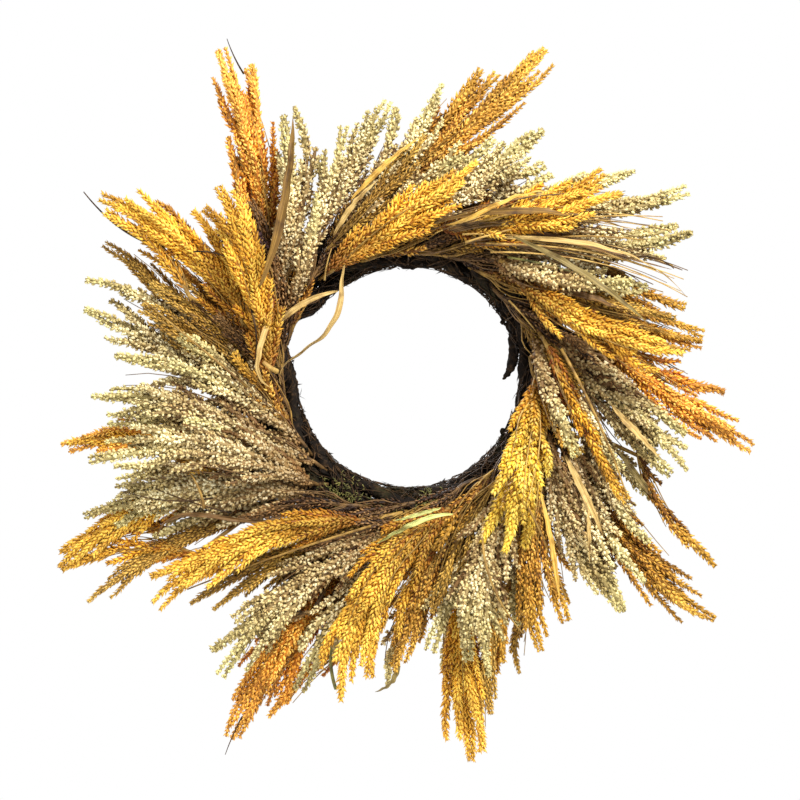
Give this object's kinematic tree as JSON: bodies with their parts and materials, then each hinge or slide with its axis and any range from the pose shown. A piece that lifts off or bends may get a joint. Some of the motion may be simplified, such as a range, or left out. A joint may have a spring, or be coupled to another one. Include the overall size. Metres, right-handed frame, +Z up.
{
  "type": "harvest door wreath",
  "caption": "Round dried harvest wreath on a twisted vine ring, with cream and golden seed heads swirling clockwise, hung by a wire loop at the back.",
  "frame": {"origin": "the hanging point, at the inside top of the wire loop, in the middle of the width", "axes": "+Z up, -Y towards the front, +Y towards the door, +X to the right seen from the front"},
  "size_m": [0.604, 0.1228, 0.6202],
  "materials": {
    "vine_bark": "rough dark bark of twisted vine with mossy fibres",
    "brown_wire": "brown enamelled florist wire, satin",
    "cream_seed": "dried cream sorghum seed, matte",
    "golden_seed": "dried golden broom corn spikelets, matte",
    "yellow_seed": "dried bright yellow spikelets, matte",
    "orange_seed": "dyed orange broom corn, matte",
    "amber_seed": "dried amber brown broom corn, matte",
    "bronze_seed": "dried olive bronze grass heads, matte",
    "dry_leaf": "dried leaf blade, tan, veined along its length"
  },
  "bodies": {
    "wreath": {"core_strand": "vine_bark", "outer_strand_1": "vine_bark", "outer_strand_2": "vine_bark", "outer_strand_3": "vine_bark", "outer_strand_4": "vine_bark", "outer_strand_5": "vine_bark", "outer_strand_6": "vine_bark", "binding_wire_1": "brown_wire", "binding_wire_2": "brown_wire", "binding_wire_3": "brown_wire", "eye_wire": "brown_wire", "brown_leaf": "dry_leaf", "arched_leaf": "dry_leaf", "olive_leaf": "dry_leaf", "tan_leaf_1": "dry_leaf", "tan_leaf_2": "dry_leaf", "golden_head_1": "golden_seed", "golden_head_2": "golden_seed", "cream_head_7": "cream_seed", "golden_head_3": "golden_seed", "cream_head_10": "cream_seed", "yellow_head": "yellow_seed", "cream_head_13": "cream_seed", "golden_head_5": "golden_seed", "golden_head_6": "golden_seed", "cream_head_16": "cream_seed", "golden_head_9": "golden_seed", "cream_head_20": "cream_seed", "cream_head_21": "cream_seed", "cream_head_1": "cream_seed", "cream_head_3": "cream_seed", "cream_head_6": "cream_seed", "amber_head_2": "amber_seed", "cream_head_9": "cream_seed", "cream_head_12": "cream_seed", "amber_head_4": "amber_seed", "cream_head_14": "cream_seed", "cream_head_15": "cream_seed", "cream_head_17": "cream_seed", "golden_head_8": "golden_seed", "cream_head_19": "cream_seed", "amber_head_1": "amber_seed", "cream_head_2": "cream_seed", "cream_head_4": "cream_seed", "cream_head_5": "cream_seed", "orange_head_1": "orange_seed", "cream_head_8": "cream_seed", "cream_head_11": "cream_seed", "amber_head_3": "amber_seed", "bronze_head_1": "bronze_seed", "golden_head_4": "golden_seed", "amber_head_5": "amber_seed", "orange_head_2": "orange_seed", "bronze_head_2": "bronze_seed", "golden_head_7": "golden_seed", "orange_head_3": "orange_seed", "cream_head_18": "cream_seed", "bronze_head_3": "bronze_seed", "orange_head_4": "orange_seed"},
    "loop": {"hanging_loop": "brown_wire"}
  },
  "joints": [
    {"name": "loop_swing", "type": "hinge", "parent": "wreath", "child": "loop", "pos_m": [0, 0.01813, -0.045], "axis": [-1, 0, 0], "range_deg": [0, 150]}
  ]
}
